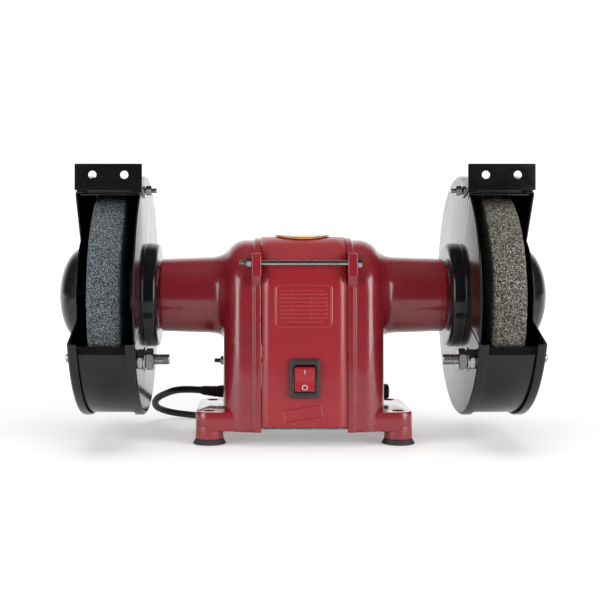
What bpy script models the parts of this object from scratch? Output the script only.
"""Bench grinder, 200 mm class: two abrasive wheels on the ends of one motor shaft.

Metres, +Z up. X runs along the shaft, the user stands at -Y, and the rubber feet stand on Z = 0.
Every mirrored piece is built on the right (+X) and copied across the plane X = 0.
"""

import math

import bmesh
import bpy
from mathutils import Matrix, Vector

# ---- driving dimensions -------------------------------------------------------------------------
GAP = 0.0003                # between pieces that touch
FINE = 30                   # sides of the large turned pieces
ROUND = 16                  # sides of the middling ones
SMALL = 12                  # sides of bosses, pads and glands
SHEET = 0.0015              # guard and shroud sheet
AXIS_Z = 0.137              # shaft height

WHEEL_R = 0.100
WHEEL_W = 0.030
WHEEL_IN = 0.1637           # wheel's motor-side face, from the middle plane
FLANGE_R = 0.040
FLANGE_T = 0.0054
BLOTTER_T = 0.0007
NUT_H = 0.013
NUT_AF = 0.024
ARBOR_R = 0.008             # 16 mm shaft end
ARBOR_END = 0.221

BEARING_R = 0.020           # 6203: 17 x 40 x 12
BEARING_BORE_R = 0.0085
BEARING_W = 0.012
BEARING_IN = 0.116

BODY_HALF = 0.0754          # pedestal, middle plane to side wall
BODY_R = 0.0535             # arch radius, and half the depth
BODY_WALL = 0.005
BODY_FOOT = 0.0125
CORNER_R = 0.022            # rounding of the casting's outer corners
RIM_IN = 0.0396             # casting's mouth beside the shroud
RIM_OUT = 0.0468
RIM_PROUD = 0.0022
NECK_R = 0.0352
NECK_ROOT_R = 0.0375
NECK_END = 0.135
NECK_FILLET = 0.006
SPIGOT_R = 0.033
SPIGOT_END = 0.1372
NECK_BORE_R = 0.030

SHROUD_HALF = 0.0393
SHROUD_R = 0.057
SHROUD_FOOT = 0.0173

FOOT_X = 0.0882             # bench bolt holes and rubber feet
FOOT_Y = 0.037
LEG_R = 0.0128
LEG_FOOT = 0.0047
FLANGE_TOP = 0.0302
HOLE_R = 0.0052
PAD_TOP_R = 0.0136
PAD_R = 0.0156

GUARD_R = 0.115
GUARD_BAND_R = 0.1125
GUARD_IN = 0.150            # guard's motor-side face
GUARD_OUT = 0.2096
RIM_DEPTH = 0.0085
BAND_END = GUARD_OUT - SHEET - 0.003    # clear of the cover's rounded edge
COLLAR_R = 0.050
COLLAR_IN = 0.1375
DOME_R = 0.046
DOME_END = 0.2337
OPEN_TOP = math.radians(57)     # guard opening, up from the front
OPEN_LOW = math.radians(-20)
BAND_BEND = math.radians(-25.8)
LIP = 0.009
SIDE_OPEN_R = 0.062         # outer pan is cut back to here at the opening

COVER_SCREWS = {"front": math.radians(-29), "back": math.radians(160)}
COVER_SCREW_R = 0.107
TAB_HALF_ANGLE = math.radians(3)

BRACKET_Y = -0.066          # front face, from the shaft
BRACKET_Z = (0.0977, 0.1219)
PIVOT_Y = -0.035
PIVOT_Z = 0.099
BRACKET_HOLE_R = 0.0037
BRACKET_HOLE_X = 0.0145     # from the plate's middle

STUD_R = 0.005
STUD_Y = -0.084
STUD_Z = -0.054
STUD_END = 0.1215
STUD_AF = 0.017

ROD_R = 0.0024
ROD_Y = 0.0555
ROD_Z = 0.0315
LUG_OUT = 0.0486
LOW_ROD_Y = 0.022
LOW_ROD_Z = 0.071
M5_AF = 0.008

STATOR_R = BODY_R - BODY_WALL - GAP
STATOR_HALF = BODY_HALF - 0.0304
ROTOR_R = 0.0277
AIR_GAP = 0.0005
WINDING_END = BODY_HALF - 0.0124

SWITCH_Z = 0.0626
BEZEL = (0.028, 0.036, 0.0035)
WINDOW = (0.0192, 0.0248)
SWITCH_DEPTH = 0.026
ROCKER_TILT = math.radians(8)

ENTRY_Y = 0.020             # gland on the left, blanking plug on the right
ENTRY_Z = 0.0405
ENTRY_HOLE_R = 0.0053
GLAND_L = 0.0091             # out of the wall
CORD_R = 0.0035
LOOP_R = 0.0295             # of the lead, beside the left foot
TAIL_R = 0.031              # of the lead, before the plug
CAP_R = 0.015               # capacitor can, upright across the base
CAP_AT = (0.005, 0.014, 0.0335)
SCREW_R = 0.0025            # M5
COVER_SCREW_STEM_R = 0.002  # M4
COIL_AT = (0.035, 0.118)
COIL_IN = 0.030
COIL_OUT = 0.050
COIL_H = 0.0146
PLUG_AT = (-0.047, 0.131)
PLUG_R = 0.0175

# The box around the grinder is centred on Y = 0: full guard behind, inner pan's edge in front.
AXIS_Y = -(GUARD_R - (GUARD_BAND_R - SHEET / 2)) / 2
AXIS = Vector((0, AXIS_Y, AXIS_Z))
BRACKET_IN = GUARD_IN - GAP - SHEET

ALONG_X = Matrix(((0, 0, 1, 0), (1, 0, 0, 0), (0, 1, 0, 0), (0, 0, 0, 1)))
ALONG_Y = Matrix(((1, 0, 0, 0), (0, 0, 1, 0), (0, -1, 0, 0), (0, 0, 0, 1)))
UPRIGHT = Matrix.Identity(4)

FINISHES = {
    "red_enamel": ((0.42, 0.030, 0.045), 0.28, 0.0),
    "black_enamel": ((0.012, 0.012, 0.014), 0.25, 0.0),
    "zinc": ((0.62, 0.61, 0.58), 0.35, 1.0),
    "steel": ((0.50, 0.50, 0.50), 0.40, 1.0),
    "lamination": ((0.20, 0.20, 0.21), 0.55, 1.0),
    "copper": ((0.60, 0.27, 0.12), 0.45, 1.0),
    "grey_grit": ((0.14, 0.17, 0.18), 0.95, 0.0),
    "brown_grit": ((0.115, 0.10, 0.078), 0.95, 0.0),
    "paper": ((0.30, 0.34, 0.30), 0.90, 0.0),
    "rubber": ((0.028, 0.026, 0.024), 0.80, 0.0),
    "dark_plastic": ((0.045, 0.040, 0.040), 0.45, 0.0),
    "red_plastic": ((0.42, 0.030, 0.035), 0.35, 0.0),
    "cord_sheath": ((0.015, 0.015, 0.015), 0.55, 0.0),
    "can": ((0.55, 0.56, 0.57), 0.35, 1.0),
    "label": ((0.75, 0.40, 0.06), 0.40, 0.0),
}

for old in list(bpy.data.objects):
    bpy.data.objects.remove(old)
PARTS = bpy.data.collections.new("bench_grinder")
CUTTERS = bpy.data.collections.new("cutters")
for group in (PARTS, CUTTERS):
    bpy.context.scene.collection.children.link(group)


# ---- tools --------------------------------------------------------------------------------------
def material(name, finish):
    colour, roughness, metallic = FINISHES[finish]
    made = bpy.data.materials.new(name)
    made.use_nodes = True
    shader = made.node_tree.nodes["Principled BSDF"]
    shader.inputs["Base Color"].default_value = (*colour, 1)
    shader.inputs["Roughness"].default_value = roughness
    shader.inputs["Metallic"].default_value = metallic
    made.diffuse_color = (*colour, 1)
    return made


def scratch(data, place):
    """An object to be evaluated, with its data's own axes laid along `place`."""
    made = bpy.data.objects.new("work", data)
    made.matrix_world = place
    bpy.context.scene.collection.objects.link(made)
    return made


def settled(work):
    """The evaluated shape as a mesh in world coordinates, with the working object removed."""
    bpy.context.view_layer.update()
    seen = work.evaluated_get(bpy.context.evaluated_depsgraph_get())
    mesh = bpy.data.meshes.new_from_object(seen)
    mesh.transform(work.matrix_world)
    bpy.data.objects.remove(work)
    shape = bmesh.new()
    shape.from_mesh(mesh)
    bmesh.ops.remove_doubles(shape, verts=shape.verts, dist=1e-6)
    bmesh.ops.recalc_face_normals(shape, faces=shape.faces)
    shape.to_mesh(mesh)
    shape.free()
    return mesh


def turned(profile, steps, place=UPRIGHT, sheet=0.0):
    """Profile points (radius, height), outer side top to bottom, turned about the local Z axis.

    With a sheet thickness the profile is an open line that Solidify thickens.
    """
    mesh = bpy.data.meshes.new("profile")
    count = len(profile)
    closed = sheet == 0 and (profile[0][0] > 0 or profile[-1][0] > 0)
    edges = [(i, (i + 1) % count) for i in range(count if closed else count - 1)]
    mesh.from_pydata([(r, 0, z) for r, z in profile], edges, [])
    work = scratch(mesh, place)
    screw = work.modifiers.new("turn", "SCREW")
    screw.steps = steps
    screw.render_steps = steps
    screw.use_merge_vertices = True
    screw.merge_threshold = 0.00001
    if sheet:
        thicken = work.modifiers.new("sheet", "SOLIDIFY")
        thicken.thickness = sheet
        thicken.offset = 0
    return settled(work)


def flat(outlines, low, high, place=ALONG_X):
    """A 2D curve outline, with further outlines as holes, extruded from low to high."""
    curve = bpy.data.curves.new("outline", "CURVE")
    curve.dimensions = "2D"
    curve.fill_mode = "BOTH"
    curve.extrude = (high - low) / 2
    for points in outlines:
        spline = curve.splines.new("POLY")
        spline.points.add(len(points) - 1)
        for point, (u, v) in zip(spline.points, points):
            point.co = (u, v, 0, 1)
        spline.use_cyclic_u = True
    return settled(scratch(curve, place @ Matrix.Translation((0, 0, (low + high) / 2))))


def strip(line, low, high, sheet):
    """A sheet bent along a line of (Y, Z) points, as wide along X as from low to high."""
    shape = bmesh.new()
    verts = [shape.verts.new((low, y, z)) for y, z in line]
    edges = [shape.edges.new(pair) for pair in zip(verts, verts[1:])]
    made = bmesh.ops.extrude_edge_only(shape, edges=edges)["geom"]
    moved = [item for item in made if isinstance(item, bmesh.types.BMVert)]
    bmesh.ops.translate(shape, verts=moved, vec=(high - low, 0, 0))
    mesh = bpy.data.meshes.new("strip")
    shape.to_mesh(mesh)
    shape.free()
    work = scratch(mesh, UPRIGHT)
    thicken = work.modifiers.new("sheet", "SOLIDIFY")
    thicken.thickness = sheet
    thicken.offset = 0
    return settled(work)


def rod(radius, low, high, place=ALONG_X, sides=SMALL, at=(0, 0)):
    """A round bar along the placed axis, or a hexagon with six sides."""
    shape = bmesh.new()
    bmesh.ops.create_cone(
        shape, cap_ends=True, segments=sides, radius1=radius, radius2=radius, depth=high - low
    )
    mesh = bpy.data.meshes.new("rod")
    shape.to_mesh(mesh)
    shape.free()
    return settled(scratch(mesh, place @ Matrix.Translation((*at, (low + high) / 2))))


def box(x, y, z, round_by=0.0):
    """A box between the given (low, high) pairs, its edges rounded by a Bevel."""
    shape = bmesh.new()
    bmesh.ops.create_cube(shape, size=1)
    size = Vector((x[1] - x[0], y[1] - y[0], z[1] - z[0]))
    centre = Vector((sum(x), sum(y), sum(z))) / 2
    bmesh.ops.scale(shape, vec=size, verts=shape.verts)
    bmesh.ops.translate(shape, vec=centre, verts=shape.verts)
    mesh = bpy.data.meshes.new("box")
    shape.to_mesh(mesh)
    shape.free()
    work = scratch(mesh, UPRIGHT)
    if round_by:
        bevel = work.modifiers.new("round", "BEVEL")
        bevel.width = round_by
        bevel.segments = 2
    return settled(work)


def tube(points, radius):
    """A round lead along a smooth curve through its route's points."""
    curve = bpy.data.curves.new("lead", "CURVE")
    curve.dimensions = "3D"
    curve.bevel_depth = radius
    curve.bevel_resolution = 2
    curve.use_fill_caps = True
    smooth = smooth_line(points)
    spline = curve.splines.new("POLY")
    spline.points.add(len(smooth) - 1)
    for point, place in zip(spline.points, smooth):
        point.co = (*place, 1)
    return settled(scratch(curve, UPRIGHT))


def smooth_line(points, step=0.012):
    """A Catmull-Rom curve through the points, read about every `step`."""
    places = [Vector(point) for point in points]
    ends = [2 * places[0] - places[1], *places, 2 * places[-1] - places[-2]]
    line = [places[0]]
    for a, b, c, d in zip(ends, ends[1:], ends[2:], ends[3:]):
        parts = max(1, round((c - b).length / step))
        for i in range(1, parts + 1):
            t = i / parts
            line.append(
                0.5 * (2 * b + (c - a) * t + (2 * a - 5 * b + 4 * c - d) * t ** 2
                       + (3 * b - a - 3 * c + d) * t ** 3)
            )
    return line


def combined(mesh, others, operation, solver="EXACT"):
    """The mesh cut by, joined to or kept within the others, one after another."""
    work = scratch(mesh, UPRIGHT)
    helpers = []
    for other in others:
        helper = bpy.data.objects.new("helper", other)
        helper.hide_render = True
        helper.display_type = "WIRE"
        CUTTERS.objects.link(helper)
        helpers.append(helper)
        step = work.modifiers.new("step", "BOOLEAN")
        step.operation = operation
        step.solver = solver
        step.object = helper
    made = settled(work)
    for helper in helpers:
        bpy.data.objects.remove(helper)
    return made


def cut(mesh, *others, solver="EXACT"):
    return combined(mesh, others, "DIFFERENCE", solver)


def join(mesh, *others, solver="EXACT"):
    return combined(mesh, others, "UNION", solver)


def mirrored(mesh):
    """A copy across the plane X = 0."""
    other = mesh.copy()
    other.transform(Matrix.Scale(-1, 4, (1, 0, 0)))
    other.flip_normals()
    return other


def place_part(name, mesh, finish, origin=(0, 0, 0), sharp=35):
    """The finished node, its origin at `origin` and its own material on it."""
    mesh.transform(Matrix.Translation(-Vector(origin)))
    mesh.name = name
    mesh.materials.clear()
    mesh.materials.append(material(name, finish))
    mesh.shade_smooth()
    mesh.set_sharp_from_angle(angle=math.radians(sharp))
    made = bpy.data.objects.new(name, mesh)
    made.location = origin
    PARTS.objects.link(made)
    return made


def place_pair(name, mesh, finish, left_finish=None, origin=(0, 0, 0)):
    """The same piece on both sides; `origin` is the right one's."""
    x, y, z = origin
    left = mirrored(mesh)
    place_part("right_" + name, mesh, finish, origin)
    place_part("left_" + name, left, left_finish or finish, (-x, y, z))


# ---- outlines in the plane across the shaft -----------------------------------------------------
def arc(radius, start, stop, parts, centre=(AXIS_Y, AXIS_Z)):
    """Points at an angle up from the front (-Y), about the shaft unless told otherwise."""
    turn = [start + (stop - start) * i / parts for i in range(parts + 1)]
    return [(centre[0] - radius * math.cos(a), centre[1] + radius * math.sin(a)) for a in turn]


def arch(radius, foot, parts=18):
    """An arch over the shaft whose straight sides run down to the foot."""
    over = arc(radius, 0, math.pi, parts)
    return [(AXIS_Y - radius, foot), *over, (AXIS_Y + radius, foot)]


def sector(inner, outer, start, stop):
    return arc(inner, start, stop, 12) + arc(outer, stop, start, 12)


def about_axis(y, z):
    return AXIS_Y + y, AXIS_Z + z


def hexagon(across_flats):
    """Corner radius of a hexagon."""
    return across_flats / math.sqrt(3)


def shaft_place():
    """Local Z along X, through the shaft's axis."""
    return Matrix.Translation(AXIS) @ ALONG_X


def level_bar(radius, low, high, y, z, sides=SMALL):
    return rod(radius, low, high, ALONG_X, sides, (y, z))


# ---- motor body ---------------------------------------------------------------------------------
def rounded_arch(radius, foot, low, high, corner):
    """An arched block whose far outer edge is rounded all the way over."""
    mesh = flat([arch(radius, foot)], low, high)
    shape = bmesh.new()
    shape.from_mesh(mesh)
    bmesh.ops.dissolve_limit(shape, angle_limit=math.radians(1), verts=shape.verts, edges=shape.edges)
    shape.normal_update()
    edge = [
        e for e in shape.edges
        if all(v.co.x > high - 1e-6 for v in e.verts) and any(v.co.z > foot + 1e-6 for v in e.verts)
        and len(e.link_faces) == 2 and any(abs(f.normal.x) < 0.5 for f in e.link_faces)
    ]
    bmesh.ops.bevel(
        shape, geom=edge, offset=corner, segments=4, profile=0.5, affect="EDGES", clamp_overlap=True
    )
    shape.to_mesh(mesh)
    shape.free()
    return mesh


def foot_outline():
    """Rounded rectangle through both leg centres and back into the pedestal."""
    front = (AXIS_Y - FOOT_Y, FOOT_X)
    back = (AXIS_Y + FOOT_Y, FOOT_X)
    inner = BODY_HALF - CORNER_R
    corner = [
        (c[0] + s * LEG_R * math.cos(a), c[1] + LEG_R * math.sin(a))
        for c, s, turn in ((front, -1, range(0, 7)), (back, 1, range(6, -1, -1)))
        for a in (math.radians(15 * i) for i in turn)
    ]
    return [(x, y) for y, x in [(corner[0][0], inner), *corner, (corner[-1][0], inner)]]


def lug_outline(side):
    """The boss that carries an upper tie rod: upright in front, sloping back into the casting."""
    top = AXIS_Z + ROD_Z + 0.0091
    low = AXIS_Z + ROD_Z - 0.0175
    reach = ROD_Y + 0.005
    points = [(0.035, top), (reach, top), (reach, low + 0.005), (BODY_R, low - 0.005), (0.035, low)]
    return [(AXIS_Y + side * y, z) for y, z in points]


def end_casting():
    body = rounded_arch(BODY_R, BODY_FOOT, RIM_IN + 0.003, BODY_HALF, CORNER_R)
    rim = flat([arch(BODY_R + RIM_PROUD, BODY_FOOT)], RIM_IN, RIM_OUT)
    fillet = [
        (NECK_ROOT_R + NECK_FILLET * (1 - math.cos(a)), BODY_HALF + NECK_FILLET * (1 - math.sin(a)))
        for a in (math.radians(22.5 * i) for i in range(5))
    ]
    neck = turned(
        [(0, SPIGOT_END), (SPIGOT_R, SPIGOT_END), (SPIGOT_R, NECK_END), (NECK_R - 0.001, NECK_END),
         (NECK_R, NECK_END - 0.001), *fillet, (fillet[-1][0], BODY_HALF - CORNER_R),
         (0, BODY_HALF - CORNER_R)],
        FINE, shaft_place(),
    )
    flange = flat([foot_outline()], BODY_FOOT, FLANGE_TOP, UPRIGHT)
    legs = [
        rod(LEG_R, LEG_FOOT, BODY_FOOT + 0.002, UPRIGHT, ROUND, (FOOT_X, AXIS_Y + s * FOOT_Y))
        for s in (-1, 1)
    ]
    lugs = [flat([lug_outline(s)], RIM_IN + 0.0006, LUG_OUT) for s in (-1, 1)]
    # The castings' many faces in one plane leave EXACT with open seams; MANIFOLD closes them.
    solid = join(body, rim, neck, flange, *legs, *lugs, solver="MANIFOLD")

    wall = BODY_WALL
    hollow = rounded_arch(
        BODY_R - wall, BODY_FOOT - 0.01, RIM_IN - 0.01, BODY_HALF - wall, CORNER_R - wall
    )
    inside = turned(
        [(0, SPIGOT_END + 0.01), (0.012, SPIGOT_END + 0.01), (0.012, BEARING_IN + BEARING_W + GAP),
         (BEARING_R + GAP, BEARING_IN + BEARING_W + GAP), (BEARING_R + GAP, BEARING_IN - 0.003),
         (NECK_BORE_R, BEARING_IN - 0.003), (NECK_BORE_R, BODY_HALF - wall - 0.01),
         (0, BODY_HALF - wall - 0.01)],
        ROUND, shaft_place(),
    )
    holes = [
        rod(HOLE_R, LEG_FOOT - 0.01, FLANGE_TOP + 0.01, UPRIGHT, SMALL, (FOOT_X, AXIS_Y + s * FOOT_Y))
        for s in (-1, 1)
    ]
    holes += [
        level_bar(ROD_R + GAP, RIM_IN - 0.01, LUG_OUT + 0.01, AXIS_Y + s * ROD_Y, AXIS_Z + ROD_Z, 12)
        for s in (-1, 1)
    ]
    low, high = BODY_HALF - 0.015, BODY_HALF + 0.015
    holes.append(level_bar(ROD_R + GAP, low, high, LOW_ROD_Y, LOW_ROD_Z, 12))
    holes.append(level_bar(ENTRY_HOLE_R, low, high, ENTRY_Y, ENTRY_Z, 16))
    holes += [
        level_bar(SCREW_R + GAP, 0.126, 0.15, *guard_screw_at(i), 12) for i in range(3)
    ]
    return cut(solid, hollow, inside, *holes, solver="MANIFOLD")


def guard_screw_at(i):
    turn = math.radians(90 + 120 * i)
    return about_axis(0.026 * math.cos(turn), 0.026 * math.sin(turn))


def centre_shroud():
    line = arch(SHROUD_R - SHEET / 2, SHROUD_FOOT, 24)
    sheet = strip(line, -SHROUD_HALF, SHROUD_HALF, SHEET)
    front = AXIS_Y - SHROUD_R
    half_w, half_h = WINDOW[0] / 2 + 0.0016, WINDOW[1] / 2 + 0.0016
    window = box(
        (-half_w, half_w), (front - 0.01, front + 0.01), (SWITCH_Z - half_h, SWITCH_Z + half_h)
    )
    return cut(sheet, window)


def base_plate():
    half_x = BODY_HALF - BODY_WALL - 0.001
    half_y = BODY_R - BODY_WALL - 0.001
    radius = CORNER_R - BODY_WALL
    outline = [
        (sx * (half_x - radius) + radius * math.cos(a),
         AXIS_Y + sy * (half_y - radius) + radius * math.sin(a))
        for sx, sy, start in ((1, 1, 0), (-1, 1, 90), (-1, -1, 180), (1, -1, 270))
        for a in (math.radians(start + 22.5 * i) for i in range(5))
    ]
    plate = flat([outline], BODY_FOOT + 0.001, BODY_FOOT + 0.001 + SHEET, UPRIGHT)
    vents = [
        box((x - 0.002, x + 0.002), (AXIS_Y - 0.028, AXIS_Y + 0.028), (0, 0.03))
        for x in (-0.03, -0.015, 0, 0.015, 0.03)
    ]
    return cut(plate, *vents)


def build_body():
    place_pair("end_casting", end_casting(), "red_enamel")
    place_part("centre_shroud", centre_shroud(), "red_enamel")
    place_part("base_plate", base_plate(), "zinc")
    badge = turned(
        [(SHROUD_R + GAP + 0.0006, 0.04), (SHROUD_R + GAP + 0.0006, -0.04),
         (SHROUD_R + GAP, -0.04), (SHROUD_R + GAP, 0.04)], 72, shaft_place(),
    )
    oval = [
        (0.027 * math.cos(a), AXIS_Y + 0.020 * math.sin(a))
        for a in (2 * math.pi * i / ROUND for i in range(ROUND))
    ]
    above = flat([oval], AXIS_Z, AXIS_Z + 0.1, UPRIGHT)
    place_part("top_label", combined(badge, [above], "INTERSECT"), "label")
    for s, end in ((-1, "front"), (1, "back")):
        y = AXIS_Y + s * FOOT_Y
        pad = turned(
            [(HOLE_R - GAP, 0.0105), (HOLE_R - GAP, LEG_FOOT - GAP), (PAD_TOP_R, LEG_FOOT - GAP),
             (PAD_R - 0.0004, 0.0006), (PAD_R - 0.0006, 0), (0.0033, 0), (0.0033, 0.0105)],
            ROUND, Matrix.Translation((FOOT_X, y, 0)),
        )
        place_pair(end + "_foot", pad, "rubber")


def build_tie_rods():
    """Two long rods outside the arch and one low inside, each with a hexagon head and a nut."""
    seats = {
        "front": (AXIS_Y - ROD_Y, AXIS_Z + ROD_Z, LUG_OUT, 0.0067),
        "back": (AXIS_Y + ROD_Y, AXIS_Z + ROD_Z, LUG_OUT, 0.0067),
        "low": (LOW_ROD_Y, LOW_ROD_Z, BODY_HALF, 0.006),
    }
    for name, (y, z, seat, spare) in seats.items():
        nut_end = -seat - GAP - 0.0044
        bar = level_bar(ROD_R, nut_end - spare, seat + GAP + 0.002, y, z, 12)
        head = level_bar(hexagon(M5_AF), seat + GAP, seat + GAP + 0.0038, y, z, 6)
        place_part(name + "_tie_rod", join(bar, head), "zinc")
        nut = level_bar(hexagon(M5_AF), nut_end, -seat - GAP, y, z, 6)
        hole = level_bar(ROD_R + GAP, nut_end - 0.01, -seat + 0.01, y, z, 12)
        place_part(name + "_tie_nut", cut(nut, hole), "zinc")


# ---- electrics ----------------------------------------------------------------------------------
def build_motor():
    place = shaft_place()
    ring = [
        (STATOR_R, STATOR_HALF), (STATOR_R, -STATOR_HALF),
        (ROTOR_R + AIR_GAP, -STATOR_HALF), (ROTOR_R + AIR_GAP, STATOR_HALF),
    ]
    place_part("stator_core", turned(ring, ROUND, place), "lamination")
    low, high = STATOR_HALF + GAP, WINDING_END
    bundle = turned(
        [(0.0405, high - 0.004), (0.042, high - 0.009), (0.042, low), (0.031, low), (0.0295, high - 0.009),
         (0.031, high - 0.002), (0.036, high)], ROUND, place,
    )
    place_pair("winding", bundle, "copper")
    half = STATOR_HALF - 0.001
    core = turned(
        [(ROTOR_R, half), (ROTOR_R, -half), (0.0103, -half), (0.0103, half)], ROUND, place
    )
    place_part("rotor_core", core, "lamination", AXIS)
    can = turned(
        [(0, 0.029), (0.004, 0.029), (0.0045, 0.0275), (CAP_R - 0.0015, 0.0275), (CAP_R, 0.026),
         (CAP_R, -0.026), (CAP_R - 0.0015, -0.0275), (0, -0.0275)],
        SMALL, Matrix.Translation(CAP_AT) @ ALONG_X,
    )
    place_part("capacitor", can, "can")


def build_switch():
    face = AXIS_Y - SHROUD_R - GAP
    width, height, depth = BEZEL
    bezel = box(
        (-width / 2, width / 2), (face - depth, face),
        (SWITCH_Z - height / 2, SWITCH_Z + height / 2), 0.0008,
    )
    half_w, half_h = WINDOW[0] / 2 + 0.0013, WINDOW[1] / 2 + 0.0013
    housing = box(
        (-half_w, half_w), (face - 0.001, face + SWITCH_DEPTH), (SWITCH_Z - half_h, SWITCH_Z + half_h)
    )
    window = box(
        (-WINDOW[0] / 2, WINDOW[0] / 2), (face - 0.01, face + 0.012),
        (SWITCH_Z - WINDOW[1] / 2, SWITCH_Z + WINDOW[1] / 2),
    )
    tabs = [
        box((x - 0.003, x + 0.003), (face + SWITCH_DEPTH - 0.001, face + SWITCH_DEPTH + 0.008),
            (SWITCH_Z + z - 0.0004, SWITCH_Z + z + 0.0004))
        for x in (-0.005, 0.005) for z in (-0.008, 0.008)
    ]
    frame = join(cut(join(bezel, housing), window), *tabs)
    place_part("switch_frame", frame, "dark_plastic")

    pivot = (AXIS_Y - SHROUD_R, SWITCH_Z)
    tip = WINDOW[1] / 2 - 0.0015
    shape = [(-0.0058, -tip), (-0.0035, 0), (-0.0058, tip), (0.001, tip), (0.0075, 0.003), (0.0075, -0.003),
             (0.001, -tip)]
    c, s = math.cos(ROCKER_TILT), math.sin(ROCKER_TILT)
    tilted = [(pivot[0] + y * c - z * s, pivot[1] + y * s + z * c) for y, z in shape]
    half = WINDOW[0] / 2 - GAP
    rocker = flat([tilted], -half, half)
    place_part("switch_rocker", rocker, "red_plastic", (0, *pivot))


def build_entries():
    """Cord gland in the left side wall, and its twin on the right, closed by a plug."""
    wall_in = BODY_HALF - BODY_WALL - GAP
    wall_out = BODY_HALF + GAP
    stem = ENTRY_HOLE_R - GAP
    end = BODY_HALF + GLAND_L
    outside = [(0.0052, end), (0.0062, end - 0.0030), (0.0062, end - 0.0055), (0.0068, end - 0.0060),
               (0.0068, wall_out)]
    inside = [(stem, wall_out), (stem, wall_in), (0.0064, wall_in), (0.0064, wall_in - 0.002)]
    hole = CORD_R + GAP
    place = Matrix.Translation((0, ENTRY_Y, ENTRY_Z)) @ ALONG_X
    gland = turned([*outside, *inside, (hole, wall_in - 0.002), (hole, end)], SMALL, place)
    place_part("cord_gland", mirrored(gland), "dark_plastic")
    top = BODY_HALF + 0.0109
    cap = [(0, top), (0.0062, top), (0.0074, top - 0.0013), (0.0078, wall_out)]
    plug = turned([*cap, *inside, (0, wall_in - 0.002)], SMALL, place)
    place_part("blanking_plug", plug, "dark_plastic")


# ---- rotor --------------------------------------------------------------------------------------
def build_shaft():
    place = shaft_place()
    half = [
        (0, ARBOR_END), (ARBOR_R - 0.001, ARBOR_END), (ARBOR_R, ARBOR_END - 0.001),
        (ARBOR_R, WHEEL_IN - GAP * 2 - BLOTTER_T - FLANGE_T - GAP),
        (BEARING_BORE_R, WHEEL_IN - GAP * 2 - BLOTTER_T - FLANGE_T - GAP),
        (BEARING_BORE_R, BEARING_IN - GAP), (0.010, BEARING_IN - GAP),
    ]
    profile = half + [(r, -x) for r, x in reversed(half)]
    place_part("shaft", turned(profile, ROUND, place), "steel", AXIS)
    race = turned(
        [(BEARING_R, BEARING_IN + BEARING_W), (BEARING_R, BEARING_IN),
         (BEARING_BORE_R + GAP, BEARING_IN), (BEARING_BORE_R + GAP, BEARING_IN + BEARING_W)], ROUND, place,
    )
    place_pair("bearing", race, "steel")


def clamp_flange(face, away, place):
    """A wheel flange whose flat face is at `face`, dished so that only its outer ring bears."""
    back = face + away * FLANGE_T
    line = [
        (FLANGE_R, face + away * 0.002), (0.026, back), (ARBOR_R + GAP, back),
        (ARBOR_R + GAP, face + away * 0.0015), (0.030, face + away * 0.0015), (0.031, face), (FLANGE_R, face),
    ]
    return turned(line if away < 0 else line[::-1], ROUND, place)


def build_wheels():
    place = shaft_place()
    out = WHEEL_IN + WHEEL_W
    edge = 0.001
    wheel = turned(
        [(WHEEL_R - edge, out), (WHEEL_R, out - edge), (WHEEL_R, WHEEL_IN + edge), (WHEEL_R - edge, WHEEL_IN),
         (ARBOR_R + GAP, WHEEL_IN), (ARBOR_R + GAP, out)], FINE, place,
    )
    place_pair("wheel", wheel, "brown_grit", "grey_grit", AXIS)
    for name, low in (("inner_blotter", WHEEL_IN - GAP - BLOTTER_T), ("outer_blotter", out + GAP)):
        disc = turned(
            [(FLANGE_R, low + BLOTTER_T), (FLANGE_R, low), (ARBOR_R + GAP, low),
             (ARBOR_R + GAP, low + BLOTTER_T)],
            ROUND, place,
        )
        place_pair(name, disc, "paper", origin=AXIS)
    inner_face = WHEEL_IN - GAP * 2 - BLOTTER_T
    outer_face = out + GAP * 2 + BLOTTER_T
    place_pair("inner_flange", clamp_flange(inner_face, -1, place), "zinc", origin=AXIS)
    place_pair("outer_flange", clamp_flange(outer_face, 1, place), "zinc", origin=AXIS)
    seat = outer_face + FLANGE_T + GAP
    nut = rod(hexagon(NUT_AF), seat, seat + NUT_H, place, 6)
    hole = rod(ARBOR_R + GAP, seat - 0.01, seat + NUT_H + 0.01, place, ROUND)
    place_pair("shaft_nut", cut(nut, hole), "zinc", origin=AXIS)


# ---- guards -------------------------------------------------------------------------------------
def cover_screw_at(turn):
    return about_axis(-COVER_SCREW_R * math.cos(turn), COVER_SCREW_R * math.sin(turn))


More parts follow.
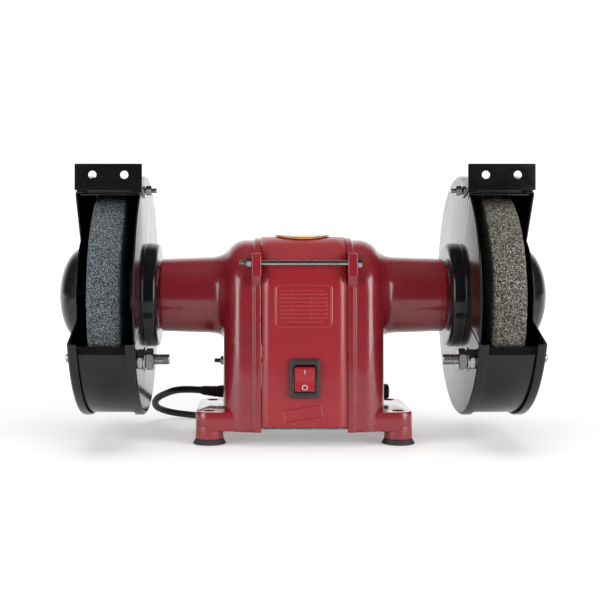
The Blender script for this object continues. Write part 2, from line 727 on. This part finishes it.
def inner_guard():
    """Pressed pan round the neck's end, with the band that wraps the wheel welded into it."""
    mid = SHEET / 2
    face = GUARD_IN + mid
    pan = turned(
        [(0.021, COLLAR_IN + mid), (COLLAR_R - 0.003, COLLAR_IN + mid),
         (COLLAR_R - mid, COLLAR_IN + 0.003), (COLLAR_R - mid, face), (GUARD_R - 0.003, face),
         (GUARD_R - mid, face + 0.0025), (GUARD_R - mid, GUARD_IN + RIM_DEPTH)],
        FINE, shaft_place(), SHEET,
    )
    rim_cut = flat([sector(GUARD_BAND_R - SHEET / 2, GUARD_R + 0.01, OPEN_LOW, OPEN_TOP)],
                   GUARD_IN - 0.01, GUARD_IN + 0.03)
    radius = GUARD_BAND_R - mid
    around = arc(radius, BAND_BEND, -2 * math.pi + OPEN_TOP, 26)
    bend_y, bend_z = around[0]
    slope = LIP / math.sqrt(2)
    band = strip([(bend_y + slope, bend_z + slope), *around], face, BAND_END, SHEET)
    tabs = [
        flat([sector(COVER_SCREW_R - 0.005, radius, a - TAB_HALF_ANGLE, a + TAB_HALF_ANGLE)],
             BAND_END - SHEET, BAND_END - GAP)
        for a in COVER_SCREWS.values()
    ]
    low, high = GUARD_IN - 0.02, GUARD_IN + 0.01
    holes = [level_bar(SCREW_R + GAP, low, high, *guard_screw_at(i), 12) for i in range(3)]
    holes += [
        level_bar(COVER_SCREW_STEM_R + GAP, GUARD_OUT - 0.01, GUARD_OUT, *cover_screw_at(a), 12)
        for a in COVER_SCREWS.values()
    ]
    holes.append(level_bar(STUD_R + GAP, low, high, *about_axis(STUD_Y, STUD_Z)))
    holes.append(level_bar(SCREW_R + GAP, low, high, *about_axis(PIVOT_Y, PIVOT_Z), 12))
    return cut(join(cut(pan, rim_cut), band, *tabs), *holes)


def outer_guard():
    """Pressed cover with a dome over the shaft nut, cut back where the guard is open."""
    mid = SHEET / 2
    face = GUARD_OUT - mid
    dome = DOME_END - GUARD_OUT
    curve = [
        (DOME_R * math.sin(a), face + dome * math.cos(a)) for a in (math.radians(15 * i) for i in range(6))
    ]
    cover = turned(
        [*curve, (DOME_R + 0.0025, face), (GUARD_R - 0.003, face), (GUARD_R - mid, face - 0.0025),
         (GUARD_R - mid, GUARD_OUT - RIM_DEPTH)],
        FINE, shaft_place(), SHEET,
    )
    low, high = GUARD_OUT - 0.03, GUARD_OUT + 0.03
    opening = flat([sector(SIDE_OPEN_R, GUARD_R + 0.01, OPEN_LOW, OPEN_TOP)], low, high)
    holes = [
        level_bar(COVER_SCREW_STEM_R + GAP, low, high, *cover_screw_at(a), 12)
        for a in COVER_SCREWS.values()
    ]
    return cut(cover, opening, *holes)


def spark_bracket():
    """Angle with a drilled front plate and one ear back to its pivot bolt."""
    front = AXIS_Y + BRACKET_Y
    low, high = (AXIS_Z + z for z in BRACKET_Z)
    plate = box((BRACKET_IN, GUARD_OUT), (front, front + SHEET), (low, high))
    pivot_y, pivot_z = about_axis(PIVOT_Y, PIVOT_Z)
    ear_top = pivot_z + 0.007
    nose = arc(0.007, math.radians(90), math.radians(270), 8, (pivot_y, pivot_z))
    outline = [(front + SHEET / 2, low), *nose[::-1], (front + SHEET / 2, ear_top + 0.004)]
    ear = flat([outline], BRACKET_IN, BRACKET_IN + SHEET)
    middle = (BRACKET_IN + GUARD_OUT) / 2
    height = (low + high) / 2 + 0.002
    holes = [
        rod(BRACKET_HOLE_R, front - 0.01, front + 0.01, ALONG_Y, 16, (middle + x, -height))
        for x in (-BRACKET_HOLE_X, BRACKET_HOLE_X)
    ]
    holes.append(level_bar(SCREW_R + GAP, BRACKET_IN - 0.01, BRACKET_IN + 0.01, pivot_y, pivot_z, 12))
    return cut(join(plate, ear), *holes)


def build_guards():
    place_pair("inner_guard", inner_guard(), "black_enamel")
    place_pair("outer_guard", outer_guard(), "black_enamel")

    pivot = about_axis(PIVOT_Y, PIVOT_Z)
    place_pair("spark_bracket", spark_bracket(), "black_enamel", origin=(BRACKET_IN, *pivot))
    head_at = GUARD_IN + SHEET + GAP
    tip = BRACKET_IN - 0.0105
    bolt = join(
        level_bar(SCREW_R, tip, head_at + 0.001, *pivot, 12),
        level_bar(hexagon(M5_AF), head_at, head_at + 0.0035, *pivot, 6),
    )
    nut = level_bar(hexagon(M5_AF), BRACKET_IN - GAP - 0.0055, BRACKET_IN - GAP, *pivot, 6)
    place_pair("bracket_bolt", join(bolt, nut), "zinc")

    stud_at = about_axis(STUD_Y, STUD_Z)
    stud = join(
        level_bar(STUD_R, STUD_END, head_at + 0.001, *stud_at),
        level_bar(0.0082, head_at, head_at + 0.004, *stud_at),
    )
    seat = GUARD_IN - GAP
    lock = level_bar(hexagon(STUD_AF), seat - 0.005, seat, *stud_at, 6)
    washer = level_bar(0.0105, seat - 0.0071, seat - 0.0052, *stud_at)
    outer = level_bar(hexagon(STUD_AF), seat - 0.0144, seat - 0.0074, *stud_at, 6)
    place_pair("rest_stud", join(stud, lock, washer, outer), "zinc")

    seat = COLLAR_IN + SHEET + GAP
    ring = turned(
        [(0.031, seat + 0.001), (0.031, seat), (0.021, seat), (0.021, seat + 0.001)], ROUND, shaft_place()
    )
    screws = []
    for i in range(3):
        screws.append(level_bar(SCREW_R, 0.127, seat + 0.002, *guard_screw_at(i), 12))
        screws.append(level_bar(0.0045, seat + 0.0005, seat + 0.0035, *guard_screw_at(i)))
    place_pair("guard_ring", join(ring, *screws), "zinc")
    seat = GUARD_OUT + GAP
    for name, turn in COVER_SCREWS.items():
        screw = join(
            level_bar(COVER_SCREW_STEM_R, GUARD_OUT - 0.006, seat + 0.001, *cover_screw_at(turn), 12),
            level_bar(0.0042, seat, seat + 0.003, *cover_screw_at(turn)),
        )
        place_pair(name + "_cover_screw", screw, "zinc")


# ---- cord ---------------------------------------------------------------------------------------
def build_cord():
    loop_x, loop_y = -BODY_HALF - 0.0456, 0.080
    loop = [
        (loop_x + LOOP_R * math.cos(math.radians(turn)), loop_y + LOOP_R * math.sin(math.radians(turn)), z)
        for turn, z in (
            (205, 0.0265), (175, 0.0180), (145, 0.0112), (115, 0.0064), (85, 0.0039), (55, CORD_R)
        )
    ]
    ring_out = COIL_OUT + CORD_R + GAP
    lead = [
        (-BODY_HALF - GLAND_L - GAP, ENTRY_Y, ENTRY_Z), (-BODY_HALF - 0.0171, 0.0212, ENTRY_Z + 0.0005),
        (-BODY_HALF - 0.0316, 0.0275, 0.0413), (-BODY_HALF - 0.0486, 0.0385, 0.0395),
        (-BODY_HALF - 0.0616, 0.0530, 0.0340), *loop,
        (-BODY_HALF - 0.0131, 0.0932, CORD_R), (-BODY_HALF + 0.0019, 0.0800, CORD_R),
        (-0.0545, 0.0705, CORD_R), (-0.035, 0.0656, CORD_R),
        (-0.010, COIL_AT[1] - ring_out, CORD_R), (COIL_AT[0], COIL_AT[1] - ring_out, CORD_R),
    ]
    place_part("cord_lead", tube(lead, CORD_R), "cord_sheath")
    ring = turned(
        [(COIL_OUT, COIL_H), (COIL_OUT, 0), (COIL_IN, 0), (COIL_IN, COIL_H)],
        ROUND, Matrix.Translation((*COIL_AT, 0)),
    )
    place_part("cord_coil", ring, "cord_sheath")
    plug_x, plug_y = PLUG_AT
    high = COIL_AT[1] + ring_out
    turn = [
        (plug_x + TAIL_R * (1 + math.cos(math.radians(angle))),
         high - TAIL_R * (1 - math.sin(math.radians(angle))), z)
        for angle, z in ((90, 0.0090), (112.5, 0.0120), (135, 0.0147), (157.5, 0.0167), (180, PLUG_R))
    ]
    tail = [
        (COIL_AT[0], high, CORD_R), (0.012, high, CORD_R + 0.0015), *turn, (plug_x, plug_y + GAP, PLUG_R)
    ]
    place_part("cord_tail", tube(tail, CORD_R), "cord_sheath")
    place = Matrix.Translation((plug_x, 0, PLUG_R)) @ ALONG_Y
    body = turned(
        [(0, plug_y), (0.0052, plug_y), (0.0075, plug_y - 0.012), (0.0125, plug_y - 0.018),
         (PLUG_R, plug_y - 0.022), (PLUG_R, plug_y - 0.037), (0, plug_y - 0.037)], SMALL, place,
    )
    pins = [rod(0.0024, plug_y - 0.056, plug_y - 0.036, place, 12, (x, 0)) for x in (-0.0095, 0.0095)]
    place_part("plug", join(body, *pins), "dark_plastic")


build_body()
build_tie_rods()
build_motor()
build_switch()
build_entries()
build_shaft()
build_wheels()
build_guards()
build_cord()
